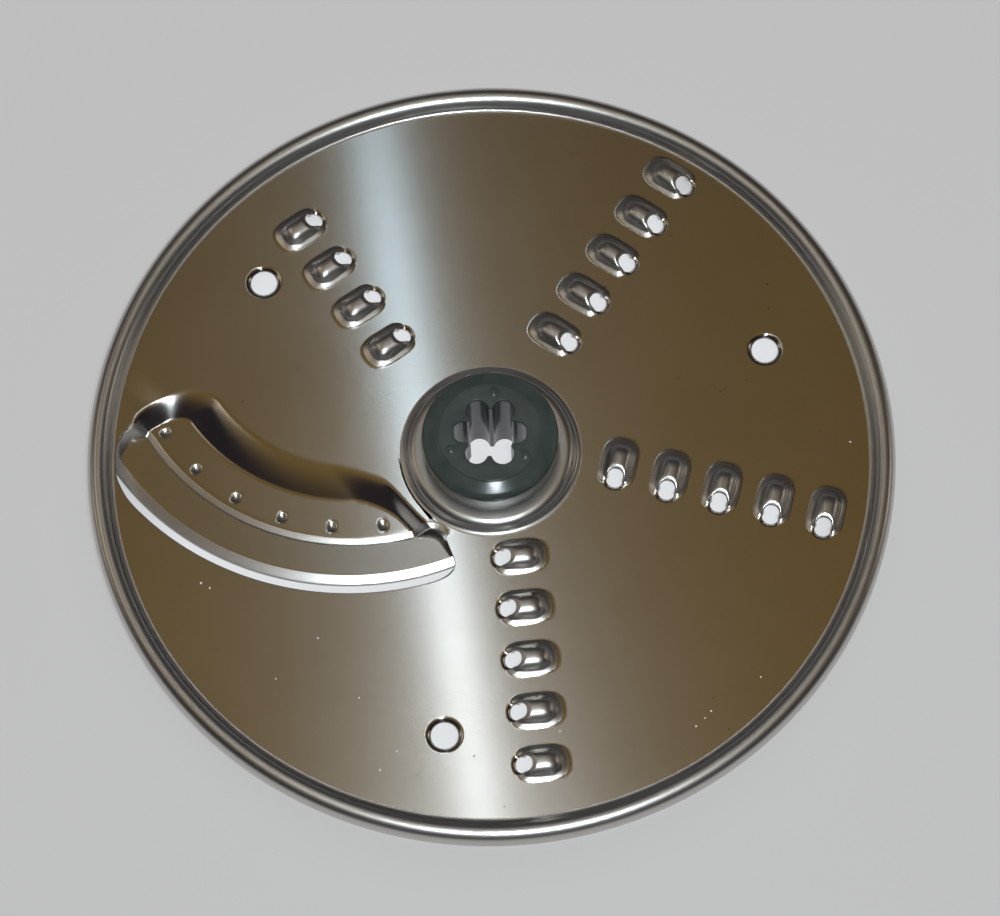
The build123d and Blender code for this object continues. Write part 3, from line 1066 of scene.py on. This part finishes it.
@dataclass(frozen=True)
class SteelFinish:
    """Stainless steel, brushed along the sheet or burnished by pressing and grinding."""

    name: str
    colour: Colour
    stained: Colour
    rough: float
    grain_turn: float
    specks: float
    anisotropy: float
    fineness: float = 2600.0
    grain_height: float = 0.0000008
    uneven: float = 0.006
    speck_spread: float = 330.0
    scratch_rough: float = 0.12
    dirt: Colour = (0.05, 0.045, 0.04)
    nick: Colour = (0.9, 0.9, 0.88)

    def material(self, grain: bpy.types.NodeTree, marks: bpy.types.NodeTree) -> bpy.types.Material:
        """Makes the material.

        Args:
            grain: The rolled grain group.
            marks: The handling marks group.

        Returns:
            The new material.
        """
        material, wiring = new_material(self.name)
        place = wiring.add("ShaderNodeTexCoord").outputs["Object"]
        turn = (0.0, 0.0, math.radians(self.grain_turn))
        rolled = wiring.add(
            "ShaderNodeGroup", {"Vector": place, "Turn": turn, "Fineness": self.fineness}, node_tree=grain
        )
        marked = wiring.add(
            "ShaderNodeGroup", {"Vector": place, "Spread": self.speck_spread}, node_tree=marks
        )
        smudged = wiring.ranged(rolled.outputs["Smudge"], 0.35, 0.7, 0.0, 1.0)
        base = wiring.mixed(smudged, (*self.colour, 1.0), (*self.stained, 1.0))
        dirty = wiring.maths("MULTIPLY", marked.outputs["Specks"], self.specks)
        specked = wiring.mixed(dirty, base, (*self.dirt, 1.0))
        nicked = wiring.mixed(marked.outputs["Nicks"], specked, (*self.nick, 1.0))
        shiny = wiring.maths("SUBTRACT", 1.0, marked.outputs["Nicks"])
        smooth, coarse = self.rough - self.uneven, self.rough + self.uneven
        varied = wiring.ranged(rolled.outputs["Grain"], 0.25, 0.75, smooth, coarse)
        scratched = wiring.maths("MULTIPLY", marked.outputs["Scratches"], self.scratch_rough)
        marred = wiring.maths("ADD", varied, scratched)
        bump = wiring.add(
            "ShaderNodeBump",
            {"Strength": 1.0, "Distance": self.grain_height, "Height": rolled.outputs["Grain"]},
        )
        brushing = wiring.add("ShaderNodeTangent", direction_type="UV_MAP", uv_map="brushing").outputs[0]
        shader = wiring.add(
            "ShaderNodeBsdfPrincipled",
            {"Base Color": nicked, "Metallic": shiny, "Roughness": marred, "Normal": bump.outputs[0],
             "Anisotropic": self.anisotropy, "Tangent": brushing},
        )
        wiring.add("ShaderNodeOutputMaterial", {"Surface": shader.outputs[0]})
        return material


@dataclass(frozen=True)
class PlasticFinish:
    """Dark moulded plastic with a fine satin texture."""

    name: str = "hub_plastic_satin"
    colour: Colour = (0.045, 0.058, 0.054)
    worn: Colour = (0.062, 0.077, 0.072)
    rough: float = 0.2
    specular: float = 0.32
    cloud_scale: float = 220.0
    pebble_scale: float = 2600.0
    pebble_height: float = 0.00004

    def material(self) -> bpy.types.Material:
        """Makes the material: cloudy colour, fine pebbled bump and uneven gloss.

        Returns:
            The new material.
        """
        material, wiring = new_material(self.name)
        place = wiring.add("ShaderNodeTexCoord").outputs["Object"]
        cloudy = wiring.noise(place, self.cloud_scale, 4.0)
        pebble = wiring.noise(place, self.pebble_scale, 2.0)
        wear = wiring.ranged(cloudy, 0.35, 0.7, 0.0, 1.0)
        colour = wiring.mixed(wear, (*self.colour, 1.0), (*self.worn, 1.0))
        rough = wiring.ranged(cloudy, 0.3, 0.7, self.rough - 0.03, self.rough + 0.04)
        bump = wiring.add(
            "ShaderNodeBump", {"Strength": 0.25, "Distance": self.pebble_height, "Height": pebble}
        )
        shader = wiring.add(
            "ShaderNodeBsdfPrincipled",
            {"Base Color": colour, "Roughness": rough, "Normal": bump.outputs[0],
             "Specular IOR Level": self.specular},
        )
        wiring.add("ShaderNodeOutputMaterial", {"Surface": shader.outputs[0]})
        return material


@dataclass(frozen=True)
class Lamp:
    """One soft rectangular lamp, in metres, aimed at the disc."""

    name: str
    spot: Place
    width: float
    length: float
    irradiance: float
    colour: Colour
    heading: float = 90.0
    mirrored: bool = True

    def place(self) -> bpy.types.Object:
        """Adds the lamp, its power worked out from the light it gives a facing sheet at the disc.

        Returns:
            The lamp's object.
        """
        data = bpy.data.lights.new(self.name, "AREA")
        data.shape = "RECTANGLE"
        data.size, data.size_y = self.width, self.length
        back = Vector(self.spot)
        data.energy = self.irradiance * math.pi**2 * back.length_squared
        data.color = self.colour
        lamp = link(self.name, data)
        face = back.normalized()
        turn = math.radians(self.heading)
        lengthwise = Vector((math.cos(turn), math.sin(turn), 0.0))
        lengthwise = (lengthwise - lengthwise.dot(face) * face).normalized()
        aim = Matrix((lengthwise.cross(face), lengthwise, face)).transposed().to_4x4()
        lamp.matrix_world = Matrix.Translation(back) @ aim
        lamp.visible_glossy = self.mirrored
        return lamp


def aloft(azimuth: float, elevation: float, distance: float) -> Place:
    """Gives the place at a heading, a height angle and a distance from the origin."""
    turn, rise = math.radians(azimuth), math.radians(elevation)
    level = distance * math.cos(rise)
    return level * math.cos(turn), level * math.sin(turn), distance * math.sin(rise)


@dataclass
class Studio:
    """Pale floor, soft lamps, dim warm room and the camera."""

    plate_top: float = PressedPlate.top
    target: tuple[float, float] = (1.938, -1.858)
    distance: float = 690.7
    elevation: float = 69.129
    roll: float = -2.327
    focal_pixels: float = 3134.7
    image_width: float = 1000.0
    sensor: float = 36.0
    brushed_across: float = PressedPlate.spread
    lamp_across: float = 26.5
    skirting: Colour = (0.34, 0.34, 0.34)
    walls: Colour = (0.022, 0.019, 0.022)
    ceiling: Colour = (0.185, 0.122, 0.042)
    backdrop: Colour = (0.55, 0.55, 0.55)
    floor_reach: float = 3.0
    floor_level: float = -0.0001
    paper: Colour = (0.62, 0.62, 0.62)
    # Painted light: the floor's glow under the disc, paler than round it, to lift the disc's shade.
    paper_painted_pool: Colour = (0.86, 0.88, 0.9)
    paper_round: Colour = (0.56, 0.56, 0.56)
    paper_glow: float = 0.75

    def axes(self) -> tuple[Vector, Vector, Vector, Vector]:
        """Works out the camera's right, up and back directions and its place in millimetres.

        Returns:
            Right, up, back and the place.
        """
        elevation, roll = math.radians(self.elevation), math.radians(self.roll)
        back = Vector((0.0, -math.cos(elevation), math.sin(elevation)))
        level = Vector((1.0, 0.0, 0.0))
        rise = back.cross(level)
        right = math.cos(roll) * level + math.sin(roll) * rise
        up = -math.sin(roll) * level + math.cos(roll) * rise
        return right, up, back, Vector((*self.target, self.plate_top)) + self.distance * back

    def beyond_camera(self, ahead: float) -> Place:
        """Gives a place in metres level with the camera, beside it and some millimetres on over the disc."""
        right, _, _, spot = self.axes()
        turn = math.radians(self.brushed_across)
        onwards = Vector((math.cos(turn), math.sin(turn), 0.0))
        return tuple((spot + self.lamp_across * right + ahead * onwards) * MILLIMETRE)

    def camera(self) -> bpy.types.Object:
        """Adds the camera: a turntable view from the front, raised and rolled a little.

        Returns:
            The camera's object.
        """
        right, up, back, spot = self.axes()
        data = bpy.data.cameras.new("photo_camera")
        data.sensor_fit = "HORIZONTAL"
        data.sensor_width = self.sensor
        data.lens = self.sensor * self.focal_pixels / self.image_width
        camera = link("photo_camera", data)
        turn = Matrix((right, up, back)).transposed().to_4x4()
        camera.matrix_world = Matrix.Translation(spot * MILLIMETRE) @ turn
        bpy.context.scene.camera = camera
        return camera

    def room(self) -> None:
        """Sets the world: a dim warm ceiling, dark walls and a pale glow near the floor's edge."""
        world = bpy.data.worlds.new("studio_room")
        bpy.context.scene.world = world
        world.use_nodes = True
        wiring = Wiring(world.node_tree)
        direction = wiring.add("ShaderNodeTexCoord").outputs["Generated"]
        height = wiring.add("ShaderNodeSeparateXYZ", {0: direction}).outputs["Z"]
        over_skirting = wiring.ranged(height, 0.06, 0.22, 0.0, 1.0)
        walls = wiring.mixed(over_skirting, (*self.skirting, 1.0), (*self.walls, 1.0))
        overhead = wiring.ranged(height, 0.79, 0.935, 0.0, 1.0)
        seen = wiring.mixed(overhead, walls, (*self.ceiling, 1.0))
        path = wiring.add("ShaderNodeLightPath")
        colour = wiring.mixed(path.outputs["Is Camera Ray"], seen, (*self.backdrop, 1.0))
        background = wiring.add("ShaderNodeBackground", {"Color": colour, "Strength": 1.0})
        wiring.add("ShaderNodeOutputWorld", {"Surface": background.outputs[0]})

    def floor(self) -> bpy.types.Object:
        """Adds the floor: a wide level sheet whose glow is painted paler under the disc, a pool of painted
        light in the disc's shade, that keeps the disc's shadow.

        Returns:
            The floor's object.
        """
        reach, level = self.floor_reach, self.floor_level
        corners = [(x * reach, y * reach, level) for x, y in ((-1, -1), (1, -1), (1, 1), (-1, 1))]
        mesh = bpy.data.meshes.new("studio_floor")
        mesh.from_pydata(corners, [], [(0, 1, 2, 3)])
        floor = link("studio_floor", mesh)
        material, wiring = new_material("studio_paper")
        place = wiring.add("ShaderNodeTexCoord").outputs["Object"]
        away = wiring.add("ShaderNodeVectorMath", {0: place}, operation="LENGTH").outputs["Value"]
        # Painted light: within the disc's reach the glow turns paler, a painted pool of light over the disc's
        # shade.
        clear = wiring.ranged(away, 0.07, 0.088, 0.0, 1.0)
        glow = wiring.mixed(clear, (*self.paper_painted_pool, 1.0), (*self.paper_round, 1.0))
        matte = wiring.add("ShaderNodeBsdfDiffuse", {"Color": (*self.paper, 1.0)})
        lit = wiring.add("ShaderNodeEmission", {"Color": glow, "Strength": 1.0})
        path = wiring.add("ShaderNodeLightPath")
        mirrored = wiring.maths("MAXIMUM", path.outputs["Is Glossy Ray"], path.outputs["Is Transmission Ray"])
        straight = wiring.maths("MAXIMUM", path.outputs["Is Camera Ray"], mirrored)
        share = wiring.maths("MULTIPLY", straight, self.paper_glow)
        surface = wiring.add("ShaderNodeMixShader", {0: share, 1: matte.outputs[0], 2: lit.outputs[0]})
        wiring.add("ShaderNodeOutputMaterial", {"Surface": surface.outputs[0]})
        mesh.materials.append(material)
        return floor

    def lamps(self) -> list[bpy.types.Object]:
        """Adds the lamps.

        Returns:
            The lamps' objects.
        """
        cool, warm, white = (0.84, 0.93, 1.0), (1.0, 0.9, 0.74), (1.0, 1.0, 1.0)
        sky = (0.6, 0.82, 1.0)
        spread = self.brushed_across
        lamps = [
            Lamp("lamp_by_camera", self.beyond_camera(0.0), 0.03, 0.03, 0.45, cool, spread),
            Lamp("strip_near", self.beyond_camera(390.0), 0.012, 0.18, 0.0054, cool, spread),
            Lamp("strip_far", self.beyond_camera(570.0), 0.015, 0.2, 0.0045, sky, spread),
            Lamp("upper_left_lamp", aloft(152.0, 55.0, 1.2), 0.3, 0.3, 0.024, warm),
            Lamp("left_lamp", aloft(168.0, 28.0, 1.1), 0.3, 0.2, 0.02, warm),
            Lamp("right_lamp", aloft(12.0, 28.0, 1.1), 0.3, 0.2, 0.025, warm),
            Lamp("soft_fill", aloft(60.0, 80.0, 1.6), 1.6, 1.6, 0.3, white, mirrored=False),
        ]
        return [lamp.place() for lamp in lamps]


def dress(piece: bpy.types.Object, finishes: list[bpy.types.Material], node: str) -> None:
    """Gives a piece its materials and its place on the model.

    Args:
        piece: The dressed piece.
        finishes: Its materials, in the order of its material slots.
        node: The CAD node it stands for.
    """
    for finish in finishes:
        piece.data.materials.append(finish)
    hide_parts(node)
    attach(piece, "root")
    LOG.info("%s: %d faces for %s", piece.name, len(piece.data.polygons), node)


def main() -> None:
    """Builds the disc's pieces in order, then the studio."""
    logging.basicConfig(level=logging.INFO, format="%(name)s %(message)s")
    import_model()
    grain, marks = grain_group(), marks_group()
    brushed = SteelFinish(
        "plate_steel_brushed", (0.62, 0.6, 0.57), (0.58, 0.555, 0.52),
        rough=0.166, grain_turn=6.9, specks=0.8, anisotropy=0.9,
    )
    burnished = SteelFinish(
        "plate_steel_burnished", (0.62, 0.6, 0.58), (0.6, 0.58, 0.55),
        rough=0.33, grain_turn=6.9, specks=0.3, anisotropy=0.3, grain_height=0.0000006,
    )
    rolled = SteelFinish(
        "blade_steel_rolled", (0.63, 0.62, 0.61), (0.6, 0.585, 0.57),
        rough=0.2, grain_turn=60.0, specks=0.5, anisotropy=0.6,
    )
    ground = SteelFinish(
        "blade_edge_ground", (0.63, 0.62, 0.61), (0.6, 0.58, 0.56),
        rough=0.36, grain_turn=60.0, specks=0.3, anisotropy=0.2,
    )
    pressed = [finish.material(grain, marks) for finish in (brushed, burnished)]
    honed = [finish.material(grain, marks) for finish in (rolled, ground)]
    dress(PressedPlate().build(), pressed, "disc_plate")
    dress(SlicingBlade().build(), honed, "slicing_blade")
    dress(DriveHub().build(), [PlasticFinish().material()], "hub")
    studio = Studio()
    studio.camera()
    studio.room()
    studio.floor()
    studio.lamps()
    scene = bpy.context.scene
    scene.view_settings.view_transform = "Standard"


if __name__ == "__main__":
    main()
